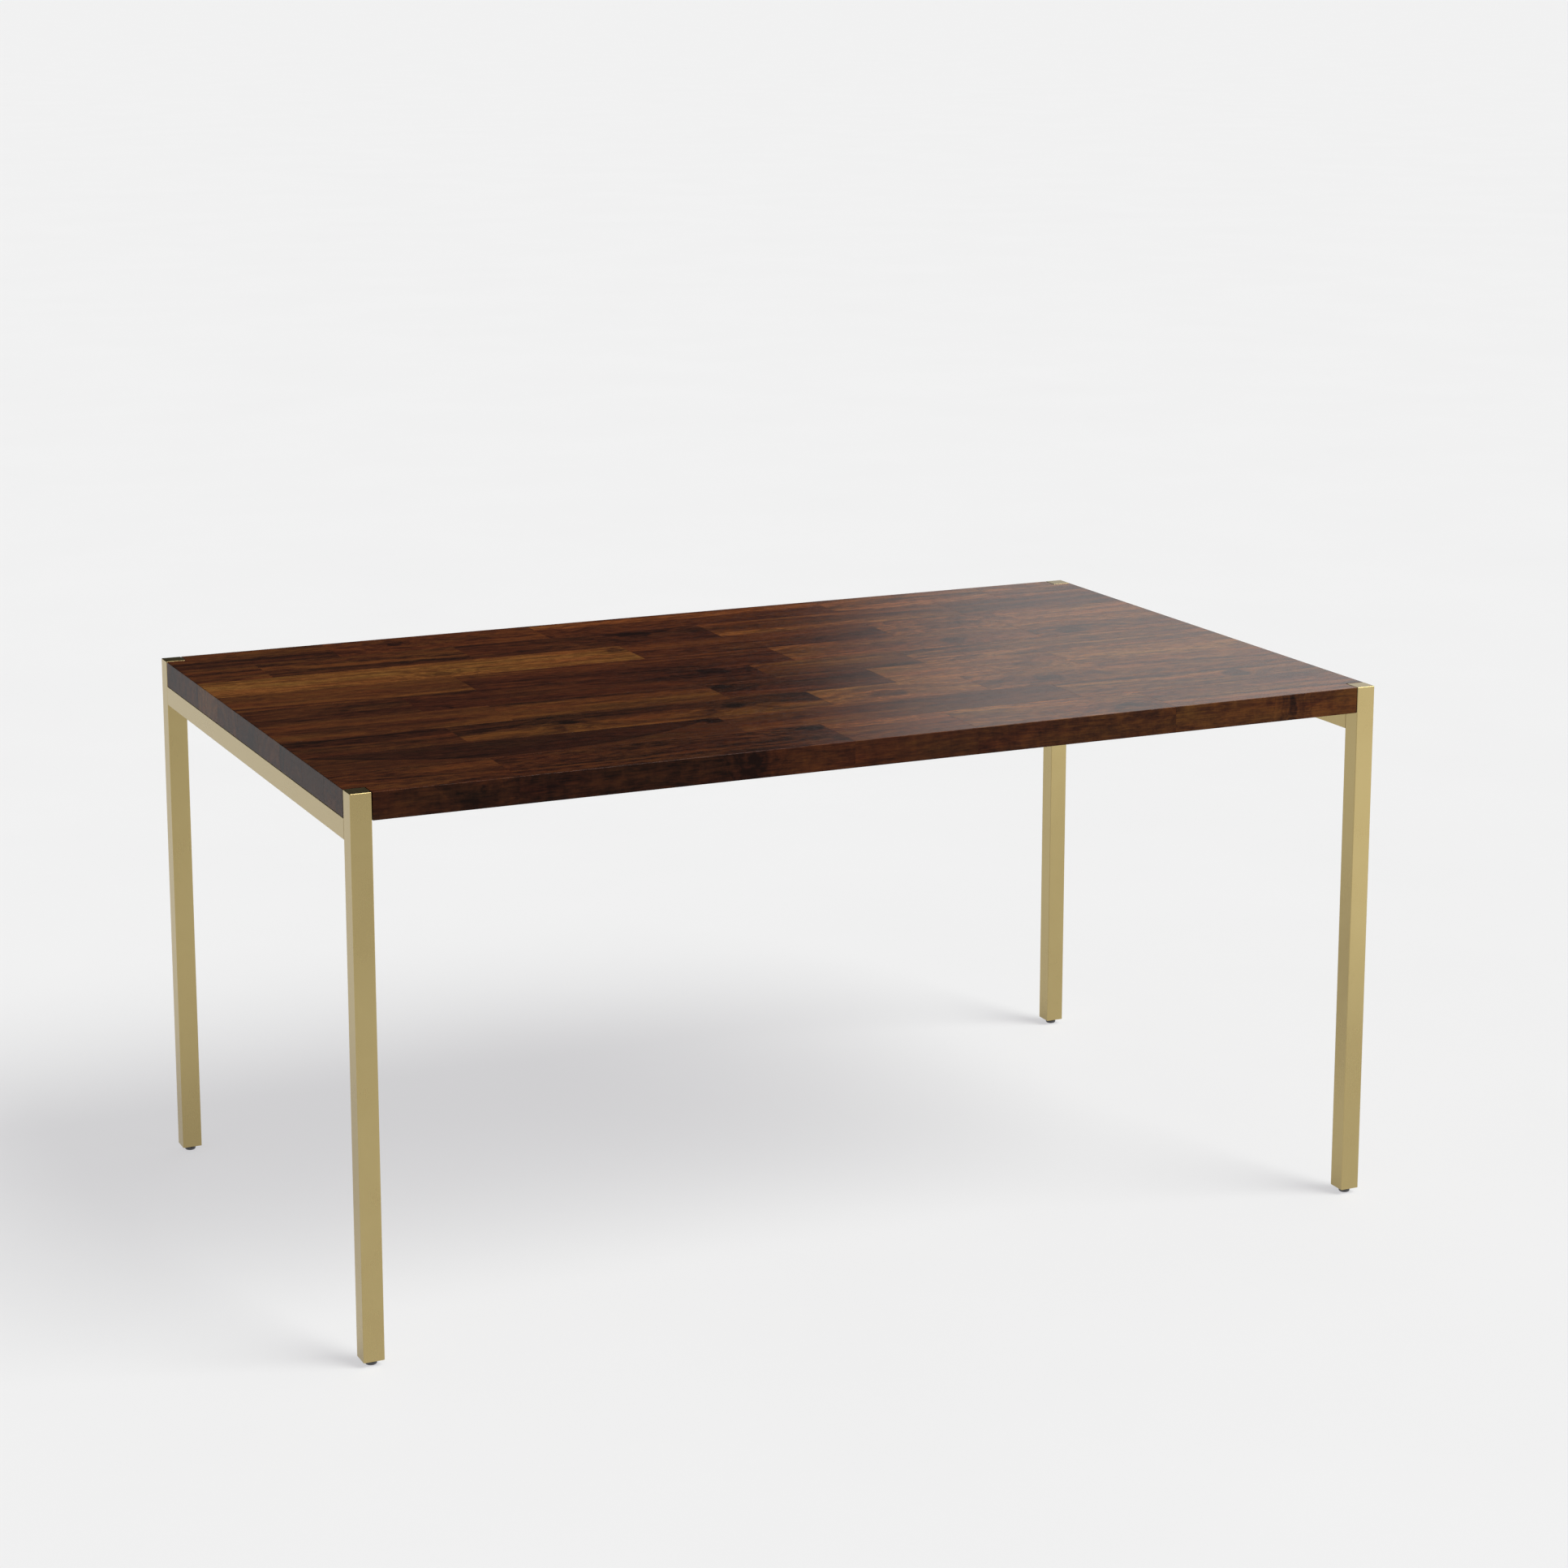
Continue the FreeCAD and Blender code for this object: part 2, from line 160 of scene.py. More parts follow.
class Graph:
    """Adds nodes to a material's or world's tree. An input is a value or another node's socket."""

    def __init__(self, tree):
        self.tree = tree
        self.tree.nodes.clear()

    def add(self, kind, inputs=None, **settings):
        """A node with the given settings and inputs, by input name or number."""
        node = self.tree.nodes.new(kind)
        for name, value in settings.items():
            setattr(node, name, value)
        for key, value in (inputs or {}).items():
            self.feed(node.inputs[key], value)
        return node

    def feed(self, socket, value):
        """Links a socket to another, or sets its value."""
        if isinstance(value, bpy.types.NodeSocket):
            self.tree.links.new(value, socket)
        else:
            socket.default_value = value

    def math(self, operation, a, b=0.0, c=0.0):
        """The result of a Math node."""
        node = self.add("ShaderNodeMath", operation=operation)
        for socket, value in zip(node.inputs, (a, b, c)):
            self.feed(socket, value)
        return node.outputs[0]

    def plus(self, total, value, weight):
        """A total with a weighted value added."""
        return self.math("MULTIPLY_ADD", value, weight, total)

    def vary(self, total, noise, weight):
        """A total moved up and down by noise, whose middle is 0.5."""
        return self.plus(total, self.math("SUBTRACT", noise, 0.5), weight)

    def towards(self, value, target, share):
        """A value taken part of the way to a target."""
        return self.math("MULTIPLY_ADD", self.math("SUBTRACT", target, value), share, value)

    def vector(self, operation, a, b=(0.0, 0.0, 0.0)):
        """The vector result of a Vector Math node."""
        node = self.add("ShaderNodeVectorMath", {0: a, 1: b}, operation=operation)
        return node.outputs["Vector"]

    def length(self, a):
        """The length of a vector."""
        node = self.add("ShaderNodeVectorMath", {0: a}, operation="LENGTH")
        return node.outputs["Value"]

    def split(self, a):
        """The three parts of a vector."""
        return self.add("ShaderNodeSeparateXYZ", {0: a}).outputs[:3]

    def join(self, x, y, z):
        """A vector from three parts."""
        return self.add("ShaderNodeCombineXYZ", {0: x, 1: y, 2: z}).outputs[0]

    def noise(self, where, scale, detail=2.0, roughness=0.5, distortion=0.0):
        """Noise around 0.5 at a place."""
        inputs = {
            "Vector": where,
            "Scale": scale,
            "Detail": detail,
            "Roughness": roughness,
            "Distortion": distortion,
        }
        return self.add("ShaderNodeTexNoise", inputs).outputs["Fac"]

    def noise_1d(self, value, scale, detail=2.0, roughness=0.5):
        """Noise around 0.5 along one value."""
        inputs = {"W": value, "Scale": scale, "Detail": detail, "Roughness": roughness}
        return self.add("ShaderNodeTexNoise", inputs, noise_dimensions="1D").outputs["Fac"]

    def stretched(self, where, along, across, detail=2.0, roughness=0.5):
        """Noise drawn out along the grain: how many features a metre holds, along and across."""
        scaled = self.vector("MULTIPLY", where, (along, across, across))
        return self.noise(scaled, 1.0, detail, roughness)

    def smooth(self, value, low, high, out_low=0.0, out_high=1.0):
        """Value taken smoothly from one range to another, and held at its ends."""
        inputs = {0: value, 1: low, 2: high, 3: out_low, 4: out_high}
        node = self.add("ShaderNodeMapRange", inputs, interpolation_type="SMOOTHSTEP")
        return node.outputs[0]

    def ramp(self, value, stops):
        """A colour ramp with (position, colour) stops."""
        node = self.add("ShaderNodeValToRGB", {0: value})
        elements = node.color_ramp.elements
        while len(elements) < len(stops):
            elements.new(0.5)
        for element, (position, colour) in zip(elements, stops):
            element.position = position
            element.color = (*colour, 1.0)
        return node.outputs["Color"]

    def mix(self, factor, a, b, blend="MIX"):
        """Two colours mixed. The node's inputs 6 and 7 and output 2 are its colours."""
        inputs = {"Factor": factor, 6: a, 7: b}
        return self.add("ShaderNodeMix", inputs, data_type="RGBA", blend_type=blend).outputs[2]

    def attribute(self, name):
        """A mesh attribute as a vector."""
        return self.add("ShaderNodeAttribute", attribute_name=name).outputs["Vector"]

    def bump(self, height, distance):
        """A normal from a height, where a height of 1 stands this many metres proud."""
        inputs = {"Height": height, "Distance": distance}
        return self.add("ShaderNodeBump", inputs).outputs["Normal"]

    def principled(self, **inputs):
        """A Principled shader. Its inputs are named in small letters with underscores."""
        named = {key.replace("_", " ").title(): value for key, value in inputs.items()}
        named = {key.replace("Ior", "IOR"): value for key, value in named.items()}
        return self.add("ShaderNodeBsdfPrincipled", named)

    def finish(self, shader):
        """Links a shader to the material's output."""
        self.add("ShaderNodeOutputMaterial", {"Surface": shader.outputs[0]})


def new_material(name):
    """An empty node material, and its graph."""
    material = bpy.data.materials.new(name)
    material.use_nodes = True
    return material, Graph(material.node_tree)


# ---- materials ------------------------------------------------------------------------------

WOOD_COLOURS = [                    # from the darkest wood to the lightest
    (0.00, (0.0085, 0.0036, 0.0024)),
    (0.20, (0.0240, 0.0084, 0.0042)),
    (0.40, (0.0460, 0.0154, 0.0058)),
    (0.60, (0.0760, 0.0270, 0.0076)),
    (0.80, (0.1150, 0.0425, 0.0100)),
    (1.00, (0.1900, 0.0760, 0.0180)),
]
OLIVE_TINT = (0.95, 1.08, 1.04, 1.0)
RED_TINT = (1.10, 0.84, 0.92, 1.0)
PORE_DEPTH = 0.03 * MM
KNOTS = ("knot", "second_knot")
KNOT_WANDER = 2.2                   # how far a knot's outline strays, in its own radii
KNOT_SWIRL = 7.5                    # radians of ripple in each radius of the knot
BAND_WANDER = 0.034                 # how far a band's edges stray with the bends of the grain
BAND_FRAY = 0.018                   # and with its streaks
RING_WANDER = 0.045                 # how far the rings stray with the bends of the grain
RING_RIPPLE = 0.005                 # and in short ripples
RING_DETOUR = 0.030                 # and around a knot


class WoodPoint:
    """Where a point of the wood is in its stave, and the noises that several functions share."""

    def __init__(self, g):
        self.place = g.add("ShaderNodeTexCoord").outputs["Object"]
        self.x, self.y, self.z = g.split(self.place)
        self.middle, self.half_length, self.seed = g.split(g.attribute("span"))
        offset = g.join(self.seed, g.math("MULTIPLY", self.seed, 1.7), self.seed)
        self.own = g.vector("ADD", self.place, offset)
        self.bends = g.stretched(self.own, 3.0, 9.0)
        self.streaks = g.stretched(self.own, 8.0, 110.0, 4.0, 0.70)
        self.fibres = g.stretched(self.own, 26.0, 640.0, 3.0, 0.6)
        pores = g.stretched(self.own, 85.0, 1500.0, 2.0, 0.55)
        self.pores = g.smooth(pores, 0.55, 0.70)


def knot_distance(g, wood):
    """How far the nearest knot is in the plane of the board, in radii, longer along the grain."""
    distances = []
    for name in KNOTS:
        knot_x, knot_y, radius = g.split(g.attribute(name))
        across = g.math("DIVIDE", g.math("SUBTRACT", wood.y, knot_y), radius)
        along = g.math("DIVIDE", g.math("SUBTRACT", wood.x, knot_x), radius)
        distances.append(g.length(g.join(across, g.math("MULTIPLY", along, 0.8), 0.0)))
    shape = g.stretched(wood.own, 45.0, 70.0, 4.0, 0.6)
    return g.vary(g.math("MINIMUM", *distances), shape, KNOT_WANDER)


def ring_radius(g, wood, around_knot):
    """The distance from the stave's pith, which leans and bends away from its length."""
    slope, curve, _ = g.split(g.attribute("lean"))
    along, across, depth = g.split(g.vector("SUBTRACT", wood.place, g.attribute("pith")))
    depth = g.plus(depth, along, slope)
    depth = g.plus(depth, g.math("MULTIPLY", along, along), curve)
    radius = g.length(g.join(0.0, across, depth))
    radius = g.plus(radius, wood.bends, RING_WANDER)
    radius = g.plus(radius, g.stretched(wood.own, 14.0, 60.0), RING_RIPPLE)
    radius = g.plus(radius, around_knot, RING_DETOUR)
    return g.math("ADD", radius, wood.seed)


def wood_figure(g, wood, around_knot, long_grain, mottling, blotches):
    """Rings, streaks, mottle and fibres together, around zero."""
    radius = ring_radius(g, wood, around_knot)
    rings = g.noise_1d(radius, 70.0, 3.0, 0.55)
    dark_lines = g.smooth(g.noise_1d(radius, 190.0, 2.0, 0.6), 0.57, 0.64)
    broad = g.stretched(wood.own, 2.5, 26.0, 5.0, 0.70)
    mottle = g.stretched(wood.own, 42.0, 85.0, 5.0, 0.75)
    flecks = g.stretched(wood.own, 60.0, 200.0, 3.0, 0.6)
    upright = g.noise(g.vector("MULTIPLY", wood.own, (34.0, 12.0, 9.0)), 1.0, 4.0, 0.7)
    figure = 0.0
    for layer, weight in ((rings, 0.90), (broad, 0.70), (wood.streaks, 0.80)):
        figure = g.vary(figure, layer, weight)
    figure = g.plus(figure, dark_lines, -0.15)
    figure = g.math("MULTIPLY", figure, long_grain)
    for layer, weight in (
        (mottle, mottling), (flecks, 0.80 * mottling), (upright, blotches), (wood.fibres, 0.50)
    ):
        figure = g.vary(figure, layer, weight)
    return figure


def band(g, wood, name, strength, rim_strength):
    """A band that bows along the stave. Its edges wander with the grain, and a rim adds to them."""
    front, back, bowing = g.split(g.attribute(name))
    bow = g.math("DIVIDE", g.math("SUBTRACT", wood.x, wood.middle), wood.half_length)
    bow = g.math("MULTIPLY", g.math("MULTIPLY", bow, bow), bowing)
    y = g.vary(wood.y, wood.bends, BAND_WANDER)
    y = g.vary(y, wood.streaks, BAND_FRAY)
    y = g.plus(y, g.math("SUBTRACT", wood.z, BLOCK_TOP), 0.4)
    y = g.math("SUBTRACT", y, bow)
    inside = g.math("MINIMUM", g.math("SUBTRACT", y, front), g.math("SUBTRACT", back, y))
    shape = g.smooth(inside, -1.5 * MM, 2.5 * MM)
    rim = g.math("MULTIPLY", shape, g.smooth(inside, 2.5 * MM, 12.0 * MM, rim_strength, 0.0))
    return g.math("MULTIPLY", g.math("ADD", shape, rim), strength)


def front_painted_shade_and_tone(g, wood, facing_y):
    """How much darker the block's front face is here than its top: painted shade, and in places the
    face's own tone.
    """
    left_of_it, right_of_it, change = g.split(g.attribute("front_face_painted_shade_and_tone"))
    past_change = g.smooth(g.math("SUBTRACT", wood.x, change), -12.0 * MM, 12.0 * MM)
    darker_by = g.towards(left_of_it, right_of_it, past_change)
    return g.math("MULTIPLY", darker_by, g.smooth(facing_y, -0.9, -0.6, 1.0, 0.0))


def wood_material(name, long_grain, mottling, blotches, less_red, specular_level):
    """Oiled dark hardwood. Its figure is solid: growth rings around each stave's own pith."""
    material, g = new_material(name)
    wood = WoodPoint(g)
    tone, redness, contrast = g.split(g.attribute("colour"))
    light_strength, dark_strength, _ = g.split(g.attribute("band_strength"))
    facing_x, facing_y, _ = g.split(g.add("ShaderNodeTexCoord").outputs["Normal"])
    distance = knot_distance(g, wood)
    around_knot = g.smooth(distance, 0.6, 4.5, 1.0, 0.0)
    knot_core = g.smooth(distance, 0.45, 1.15, 1.0, 0.0)
    swirl = g.math("SINE", g.math("MULTIPLY", distance, KNOT_SWIRL))
    swirl = g.math("MULTIPLY", swirl, around_knot)
    figure = wood_figure(g, wood, around_knot, long_grain, mottling, blotches)

    # The lightest figure is held back, and end grain is darker and rougher, as it takes more oil in
    end_grain = g.smooth(g.math("ABSOLUTE", facing_x), 0.6, 0.9)
    lightness = g.math("SMOOTH_MIN", g.math("MULTIPLY", figure, contrast), 0.22, 0.20)
    lightness = g.math("ADD", lightness, tone)
    lightness = g.plus(lightness, wood.pores, -0.09)
    lightness = g.math("ADD", lightness, band(g, wood, "light_band", light_strength, 0.0))
    lightness = g.math("SUBTRACT", lightness, band(g, wood, "dark_band", dark_strength, 0.5))
    lightness = g.plus(lightness, around_knot, -0.07)
    lightness = g.plus(lightness, swirl, 0.05)
    lightness = g.plus(lightness, knot_core, -0.28)
    lightness = g.plus(lightness, end_grain, -0.06)
    # Painted shade on the front face, with some of that face's own lighter or darker wood
    lightness = g.math("SUBTRACT", lightness, front_painted_shade_and_tone(g, wood, facing_y))

    # Patches lean to red or to olive
    patches = g.stretched(wood.own, 7.0, 30.0, 3.0, 0.6)
    redness = g.vary(redness, patches, 3.0)
    redness = g.plus(0.33, g.math("SUBTRACT", redness, less_red), 0.67)
    tint = g.mix(redness, OLIVE_TINT, RED_TINT)
    colour = g.mix(1.0, g.ramp(lightness, WOOD_COLOURS), tint, "MULTIPLY")

    roughness = g.plus(0.08, wood.fibres, 0.10)
    roughness = g.plus(roughness, wood.pores, 0.10)
    roughness = g.plus(roughness, end_grain, 0.26)
    height = g.plus(g.math("MULTIPLY", wood.fibres, 0.5), wood.pores, -1.0)
    g.finish(g.principled(base_color=colour, roughness=roughness, normal=g.bump(height, PORE_DEPTH),
                          specular_ior_level=specular_level))
    return material


Y_AXIS, Z_AXIS = 1, 2
STROKES_ALONG = 10.0                # brush strokes in a metre, along the tube and across it
STROKES_ACROSS = 900.0
STROKE_DEPTH = 0.00025 * MM


def brass_material(name, brushed_along):
    """Satin brass finish on steel tube, finely brushed along one axis of the object."""
    material, g = new_material(name)
    place = g.add("ShaderNodeTexCoord").outputs["Object"]
    strokes = [STROKES_ACROSS] * 3
    strokes[brushed_along] = STROKES_ALONG
    brush = g.noise(g.vector("MULTIPLY", place, strokes), 1.0, 3.0, 0.6)
    smudges = g.noise(place, 9.0, 3.0, 0.6, 0.4)
    tint = g.vary(smudges, brush, 0.05)
    colour = g.ramp(tint, [(0.25, (0.445, 0.347, 0.156)), (0.75, (0.475, 0.376, 0.174))])
    roughness = g.plus(0.24, brush, 0.02)
    roughness = g.plus(roughness, smudges, 0.06)
    g.finish(g.principled(base_color=colour, metallic=1.0, roughness=roughness,
                          normal=g.bump(brush, STROKE_DEPTH)))
    return material


def plain_material(name, colour, metallic, roughness, grain, depth):
    """A moulded or plated surface, with so many grains in a metre, and a slow change of tone."""
    material, g = new_material(name)
    place = g.add("ShaderNodeTexCoord").outputs["Object"]
    fine = g.noise(place, grain, 3.0, 0.6)
    broad = g.noise(place, grain * 0.06, 3.0, 0.6)
    dark = [channel * 0.75 for channel in colour]
    light = [channel * 1.25 for channel in colour]
    shade = g.plus(g.math("MULTIPLY", broad, 0.6), fine, 0.4)
    g.finish(g.principled(base_color=g.ramp(shade, [(0.3, dark), (0.7, light)]), metallic=metallic,
                          roughness=g.plus(roughness - 0.1, broad, 0.2),
                          normal=g.bump(fine, depth)))
    return material


# ---- the block ------------------------------------------------------------------------------

SEED_BASE = 900
EASING_SEGMENTS = 3

# How far the staves differ by chance
FIGURE_STRENGTH = (0.7, 1.1)
PITH_SHIFT = 0.1                    # along the stave, from its middle
PITH_OUTSIDE = 0.02                 # out of the row, to the front or the back
PITH_DEPTH = (0.03, 0.11)           # under the block's top
PITH_SLOPE = 0.10
PITH_CURVE = 0.25
SEED_SPREAD = 40.0


def on_end(x):
    """Whether a place along the block is at one of its ends."""
    return abs(abs(x) - HIGH.x) < TOUCHING


def on_side(y):
    """Whether a place across the block is at its front or back."""
    return abs(abs(y) - HIGH.y) < TOUCHING


def stave_outline(left, right, front, back):
    """The corners of a stave in plan, notched where a leg passes it, anticlockwise."""
    notch = TUBE_SIZE + NOTCH_GAP
    corners = []
    for x, y, side_x, side_y in (
        (left, front, -1, -1), (right, front, 1, -1), (right, back, 1, 1), (left, back, -1, 1)
    ):
        if not (on_end(x) and on_side(y)):
            corners.append((x, y))
            continue
        inner_x = x - side_x * notch
        inner_y = y - side_y * notch
        notched = [(x, inner_y), (inner_x, inner_y), (inner_x, y)]
        corners += notched if side_x * side_y > 0 else notched[::-1]
    return corners


def outside_edge(edge):
    """Whether an edge of a stave lies along the outside of the block's top or bottom."""
    a, b = [vertex.co for vertex in edge.verts]
    along_end = on_end(a.x) and on_end(b.x)
    along_side = on_side(a.y) and on_side(b.y)
    return abs(a.z - b.z) < TOUCHING and (along_end or along_side)


def add_stave(mesh, outline):
    """Adds one stave to a mesh as a closed prism, and returns its new points."""
    bottom = [mesh.verts.new((x, y, BLOCK_BOTTOM)) for x, y in outline]
    top = [mesh.verts.new((x, y, BLOCK_TOP)) for x, y in outline]
    mesh.faces.new(bottom[::-1])
    mesh.faces.new(top)
    for index in range(len(outline)):
        following = (index + 1) % len(outline)
        mesh.faces.new((bottom[index], bottom[following], top[following], top[index]))
    return bottom + top


def stave_values(rng, stave, left, right, low, high):
    """What the wood material reads from one stave, in metres."""
    middle = (left + right) / 2
    figure = rng.uniform(*FIGURE_STRENGTH)
    pith = (
        middle + rng.uniform(-PITH_SHIFT, PITH_SHIFT),
        rng.uniform(low.y - PITH_OUTSIDE, high.y + PITH_OUTSIDE),
        BLOCK_TOP - rng.uniform(*PITH_DEPTH),
    )
    seed = rng.uniform(0.0, SEED_SPREAD)
    slope = rng.uniform(-PITH_SLOPE, PITH_SLOPE)
    curve = rng.uniform(-PITH_CURVE, PITH_CURVE)

    # A band whose front edge is behind its back edge shows nowhere, and nor does a knot a metre away
    bands = {"light": (high.y, low.y, 0.0), "dark": (high.y, low.y, 0.0)}
    strengths = {"light": 0.0, "dark": 0.0}
    for kind in bands:
        if kind in stave:
            front, back, bow, strengths[kind] = stave[kind]
            bands[kind] = (low.y + front * MM, low.y + back * MM, bow * MM)
    knots = [(low.x - 1.0, low.y, 0.01)] * len(KNOTS)
    for index, (along, back, radius) in enumerate(stave.get("knots", ())):
        knots[index] = (low.x + along * MM, low.y + back * MM, radius * MM)
    # How much darker the front face is: painted shade, and in places the face's own tone
    left_of_it, right_of_it, change = stave.get("front", (0.0, 0.0, 0.0))
    return {
        "span": (middle, (right - left) / 2, seed),
        "pith": pith,
        "lean": (slope, curve, 0.0),
        "colour": (stave["tone"], stave["red"], stave.get("figure", figure)),
        "light_band": bands["light"],
        "dark_band": bands["dark"],
        "band_strength": (strengths["light"], strengths["dark"], 0.0),
        **dict(zip(KNOTS, knots)),
        "front_face_painted_shade_and_tone": (left_of_it, right_of_it, low.x + change * MM),
    }


def stave_row(number, staves, materials):
    """A row of the block: its staves as closed, eased solids that carry their own grain.

    The second material is for the faces to the front and the back."""
    node = f"stave_row_{number}"
    low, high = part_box(node)
    rng = random.Random(SEED_BASE + number)
    mesh = bmesh.new()
    layers = {}
    left = low.x
    for stave in staves:
        right = low.x + stave["end"] * MM
        values = stave_values(rng, stave, left, right, low, high)
        for name in values:
            if name not in layers:
                layers[name] = mesh.verts.layers.float_vector.new(name)
        for point in add_stave(mesh, stave_outline(left, right, low.y, high.y)):
            for name, value in values.items():
                point[layers[name]] = value
        left = right
    mesh.normal_update()
    for face in mesh.faces:
        faces_side = abs(face.normal.y) > 0.5
        face.material_index = int(faces_side)
    weights = mesh.edges.layers.float.new("bevel_weight_edge")
    for edge in mesh.edges:
        edge[weights] = 1.0 if outside_edge(edge) else JOINT_EASING / EDGE_EASING
    data = bpy.data.meshes.new(f"block_row_{number}")
    mesh.to_mesh(data)
    mesh.free()
    for material in materials:
        data.materials.append(material)
    piece = bpy.data.objects.new(f"block_row_{number}", data)
    bpy.context.scene.collection.objects.link(piece)
    bevel = piece.modifiers.new("easing", "BEVEL")
    bevel.limit_method = "WEIGHT"
    bevel.width = EDGE_EASING
    bevel.segments = EASING_SEGMENTS
    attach(piece, "table")
    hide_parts(node)
    return piece


# ---- the room -------------------------------------------------------------------------------

FLOOR_REACH = 200.0
FLOOR_GLOW = 0.559
FLOOR_WHITE = (0.997, 0.989, 1.016, 1.0)
FLOOR_BRIGHTNESS = 0.885            # of the whole floor, out of the shadow
CARD_LOW = (-8.0, -10.0)
CARD_HIGH = (10.0, -1.0)
CARD_HEIGHT = 0.5 * MM
EVEN_GLOW = 0.25                    # of the ceiling, and of the ground far away
BACKGROUND = (0.88, 0.88, 0.88, 1.0)
WHITE = (1.0, 1.0, 1.0, 1.0)
KEY_STRENGTH = 3.70
KEY_WIDTH = 37.0                    # degrees across
KEY_DIRECTION = (-0.46, 0.47, -0.74)
CAMERA_PLACE = (-2.0035, -4.4466, 1.8002)
CAMERA_AZIMUTH = -24.725            # degrees
CAMERA_ELEVATION = 11.0             # degrees
CAMERA_LENS = 78.64                 # millimetres
CAMERA_SENSOR = 36.0                # millimetres across
CAMERA_SHIFT = -0.1104              # of the image's width
CAMERA_REACH = 1000.0


def floor_material():
    """Pale studio floor that glows, so that shadows on it stay light. It is clear from below."""
    material, g = new_material("studio_floor")
    mottle = g.noise(g.add("ShaderNodeTexCoord").outputs["Object"], 1.5, 4.0, 0.6)
    colour = g.ramp(mottle, [(0.3, (0.256, 0.260, 0.248)), (0.7, (0.266, 0.270, 0.258))])
    solid = g.principled(base_color=colour, roughness=0.95, specular_ior_level=0.0,
                         emission_color=FLOOR_WHITE, emission_strength=FLOOR_GLOW)
    clear = g.add("ShaderNodeBsdfTransparent")
    below = g.add("ShaderNodeNewGeometry").outputs["Backfacing"]
    g.finish(g.add("ShaderNodeMixShader", {0: below, 1: solid.outputs[0], 2: clear.outputs[0]}))
    return material


def card_material():
    """What the fronts of the legs mirror: the floor, dimmer in front and brighter on the right."""
    material, g = new_material("mirrored_card")
    x, y, _ = g.split(g.add("ShaderNodeTexCoord").outputs["Object"])
    in_front = g.smooth(y, -1.0, -3.6)
    on_right = g.math("MULTIPLY", g.smooth(x, 1.0, 1.7), g.smooth(y, -1.0, -1.5))
    glow = g.plus(FLOOR_BRIGHTNESS, in_front, -0.20)
    glow = g.plus(glow, on_right, 0.46)
    g.finish(g.add("ShaderNodeEmission", {"Color": WHITE, "Strength": glow}))
    return material


def add_sheet(name, low, high, height, material):
    """A level sheet between two corners. It is part of the room, and lights no dull surface."""
    data = bpy.data.meshes.new(name)
    corners = [
        (low[0], low[1], height),
        (high[0], low[1], height),
        (high[0], high[1], height),
        (low[0], high[1], height),
    ]
    data.from_pydata(corners, [], [(0, 1, 2, 3)])
    data.materials.append(material)
    sheet = bpy.data.objects.new(name, data)
    bpy.context.scene.collection.objects.link(sheet)
    sheet.visible_diffuse = False
    return sheet


def add_floor():
    """A wide level floor, and just over it in front a card that only glossy surfaces show."""
    far_corner = (FLOOR_REACH, FLOOR_REACH)
    near_corner = (-FLOOR_REACH, -FLOOR_REACH)
    add_sheet("studio_floor", near_corner, far_corner, 0.0, floor_material())
    card = add_sheet("mirrored_card", CARD_LOW, CARD_HIGH, CARD_HEIGHT, card_material())
    card.visible_camera = False
    card.visible_transmission = False
    card.visible_shadow = False


def add_camera():
    """The camera, level across and tilted down a little."""
    data = bpy.data.cameras.new("camera")
    data.lens = CAMERA_LENS
    data.sensor_width = CAMERA_SENSOR
    data.shift_y = CAMERA_SHIFT
    data.clip_end = CAMERA_REACH
    camera = bpy.data.objects.new("camera", data)
    bpy.context.scene.collection.objects.link(camera)
    azimuth = math.radians(CAMERA_AZIMUTH)
    elevation = math.radians(CAMERA_ELEVATION)
    back = Vector((
        math.sin(azimuth) * math.cos(elevation),
        -math.cos(azimuth) * math.cos(elevation),
        math.sin(elevation),
    ))
    camera.location = CAMERA_PLACE
    camera.rotation_mode = "QUATERNION"
    camera.rotation_quaternion = (-back).to_track_quat("-Z", "Y")
    bpy.context.scene.camera = camera


def add_world():
    """A soft studio: a bright wall on the right, dimmer ones on the left and in front."""
    world = bpy.data.worlds.new("studio")
    world.use_nodes = True
    bpy.context.scene.world = world
    g = Graph(world.node_tree)
    x, y, z = g.split(g.add("ShaderNodeTexCoord").outputs["Generated"])
    level_x, level_y, _ = g.split(g.vector("NORMALIZE", g.join(x, y, 0.0)))

    # Where each wall starts and ends, by the way it lies, and how bright it is there
    strength = 0.0
    for way, start, end, at_start, at_end in (
        (level_x, 0.415, 0.482, 0.0, 0.68),
        (level_x, 0.46, 0.62, 0.0, 0.26),
        (level_x, -0.85, -0.35, 0.50, 0.0),
        (level_y, -0.5, 0.0, 0.35, 0.02),
    ):
        strength = g.math("ADD", strength, g.smooth(way, start, end, at_start, at_end))
    strength = g.math("MULTIPLY", strength, g.smooth(z, 0.18, 0.21, 0.86, 1.0))
    strength = g.towards(strength, EVEN_GLOW, g.smooth(z, 0.35, 0.75))
    strength = g.towards(strength, EVEN_GLOW, g.smooth(z, -0.05, -0.25))

    light = g.add("ShaderNodeBackground", {"Color": WHITE, "Strength": strength}).outputs[0]
    seen = g.add("ShaderNodeBackground", {"Color": BACKGROUND, "Strength": 1.0}).outputs[0]
    to_camera = g.add("ShaderNodeLightPath").outputs["Is Camera Ray"]
    mixed = g.add("ShaderNodeMixShader", {0: to_camera, 1: light, 2: seen})
    g.add("ShaderNodeOutputWorld", {"Surface": mixed.outputs[0]})


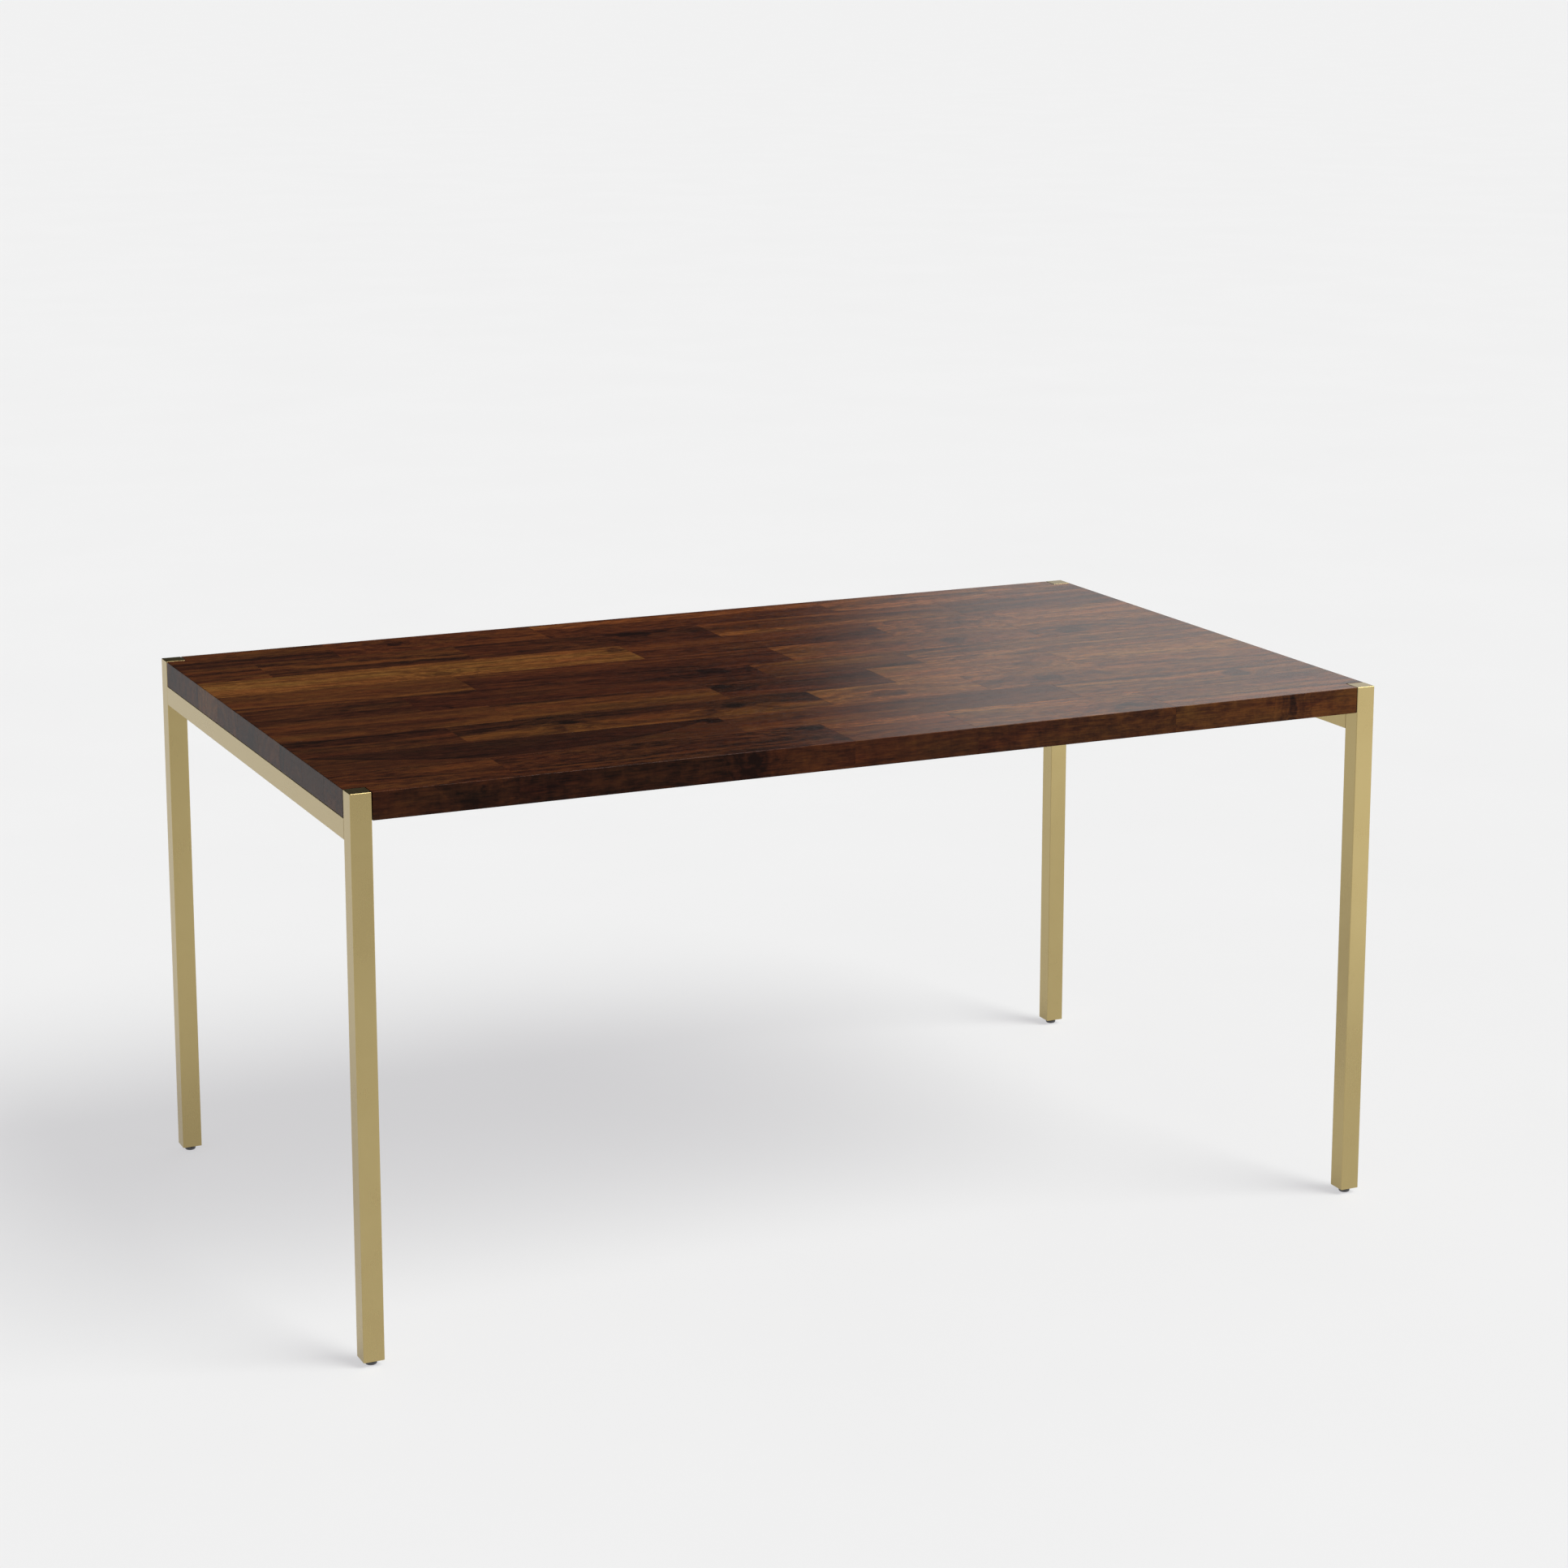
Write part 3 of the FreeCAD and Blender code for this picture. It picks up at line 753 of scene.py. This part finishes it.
def add_key_light():
    """A large soft light, high up in front on the right."""
    data = bpy.data.lights.new("key", "SUN")
    data.energy = KEY_STRENGTH
    data.angle = math.radians(KEY_WIDTH)
    light = bpy.data.objects.new("key", data)
    bpy.context.scene.collection.objects.link(light)
    light.rotation_mode = "QUATERNION"
    light.rotation_quaternion = Vector(KEY_DIRECTION).to_track_quat("-Z", "Y")


def set_view():
    """Colours straight from light, with no film look."""
    settings = bpy.context.scene.view_settings
    settings.view_transform = "Standard"
    settings.look = "None"


# ---- build ----------------------------------------------------------------------------------

wood = wood_material("oiled_hardwood", long_grain=1.0, mottling=1.0, blotches=0.0, less_red=0.0,
                     specular_level=0.1)
wood_sides = wood_material("oiled_hardwood_sides", long_grain=0.40, mottling=0.55, blotches=0.5,
                           less_red=0.25, specular_level=0.05)
for number, staves in enumerate(STAVES, start=1):
    stave_row(number, staves, (wood, wood_sides))

brass_upright = brass_material("satin_brass_upright", Z_AXIS)
brass_level = brass_material("satin_brass_level", Y_AXIS)
nylon = plain_material("glide_nylon", (0.12, 0.12, 0.125), metallic=0.0, roughness=0.5,
                       grain=2500.0, depth=0.03 * MM)
plug_plastic = plain_material("plug_plastic", (0.025, 0.025, 0.025), metallic=0.0, roughness=0.5,
                              grain=2500.0, depth=0.03 * MM)
zinc = plain_material("zinc_plate", (0.52, 0.53, 0.54), metallic=1.0, roughness=0.35,
                      grain=3000.0, depth=0.01 * MM)
black = plain_material("black_oxide", (0.05, 0.05, 0.05), metallic=1.0, roughness=0.45,
                       grain=3000.0, depth=0.01 * MM)
turned_brass = plain_material("turned_brass", (0.62, 0.47, 0.22), metallic=1.0, roughness=0.3,
                              grain=3000.0, depth=0.01 * MM)

# The material of each node, by how its name starts. The first that fits is used
NODE_MATERIALS = {
    "leg": brass_upright,
    "cap": brass_level,
    "rail_left": brass_level,
    "rail_right": brass_level,
    "plug_nuts": zinc,
    "plug": plug_plastic,
    "glide_stud": zinc,
    "glide_pad": nylon,
    "rail_washers": zinc,
    "rail_screws": black,
    "block_inserts": turned_brass,
}
for name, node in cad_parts.items():
    for start, material in NODE_MATERIALS.items():
        if name.startswith(start):
            node.data.materials.clear()
            node.data.materials.append(material)
            break

add_floor()
add_world()
add_camera()
add_key_light()
set_view()
